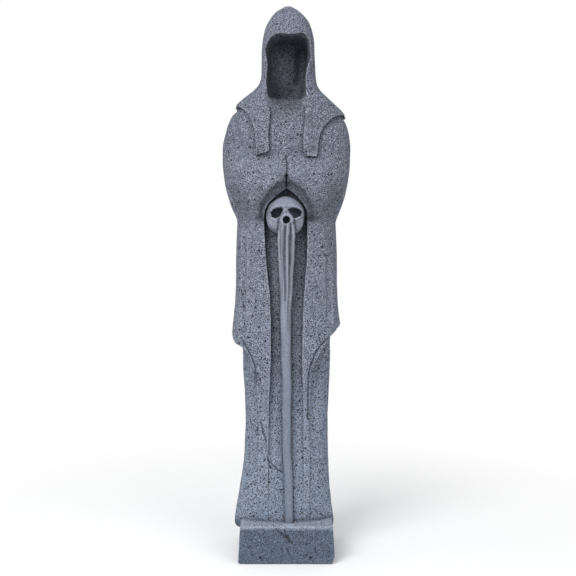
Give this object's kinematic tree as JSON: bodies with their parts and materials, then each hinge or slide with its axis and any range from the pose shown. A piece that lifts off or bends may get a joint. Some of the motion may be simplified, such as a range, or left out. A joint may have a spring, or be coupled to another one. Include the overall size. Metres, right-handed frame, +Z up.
{
  "type": "grim reaper statue",
  "caption": "Standing hooded figure with an empty hood and arms folded in wide sleeves behind a long skull-headed staff, carved with its plinth in pitted grey stone.",
  "frame": {"origin": "middle of the underside of the plinth's outline, on the ground", "axes": "+Z up the figure, -Y towards the viewer, +X to the viewer's right"},
  "size_m": [0.2344, 0.1478, 0.999],
  "materials": {
    "pitted_stone": "dry pitted volcanic stone, rubbed smoother and a little lighter on the skull and staff"
  },
  "bodies": {
    "root": {"reaper_statue": "pitted_stone"}
  },
  "joints": []
}
